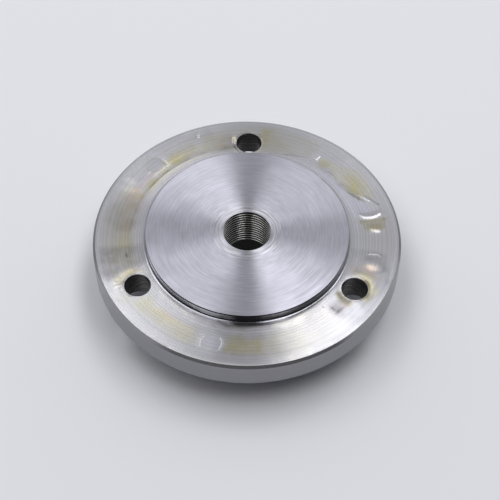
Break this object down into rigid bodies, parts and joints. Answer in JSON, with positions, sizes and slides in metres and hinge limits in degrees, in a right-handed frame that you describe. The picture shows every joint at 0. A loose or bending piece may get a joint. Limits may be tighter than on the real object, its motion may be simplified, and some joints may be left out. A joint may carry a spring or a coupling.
{
  "type": "lathe chuck backplate",
  "caption": "Turned steel plate with a low round register, a threaded centre bore and a short rear hub, which joins a self-centring chuck to a small lathe's spindle.",
  "frame": {"origin": "on the turning axis, at the end face of the hub, where the plate stands on a bench", "axes": "+Z along the turning axis from the spindle side to the chuck side, +Y towards the first bolt hole"},
  "size_m": [0.083, 0.083, 0.0205],
  "materials": {
    "turned_steel": "turned, with a dried oil film on the flange"
  },
  "bodies": {
    "root": {"backplate": "turned_steel"}
  },
  "joints": []
}
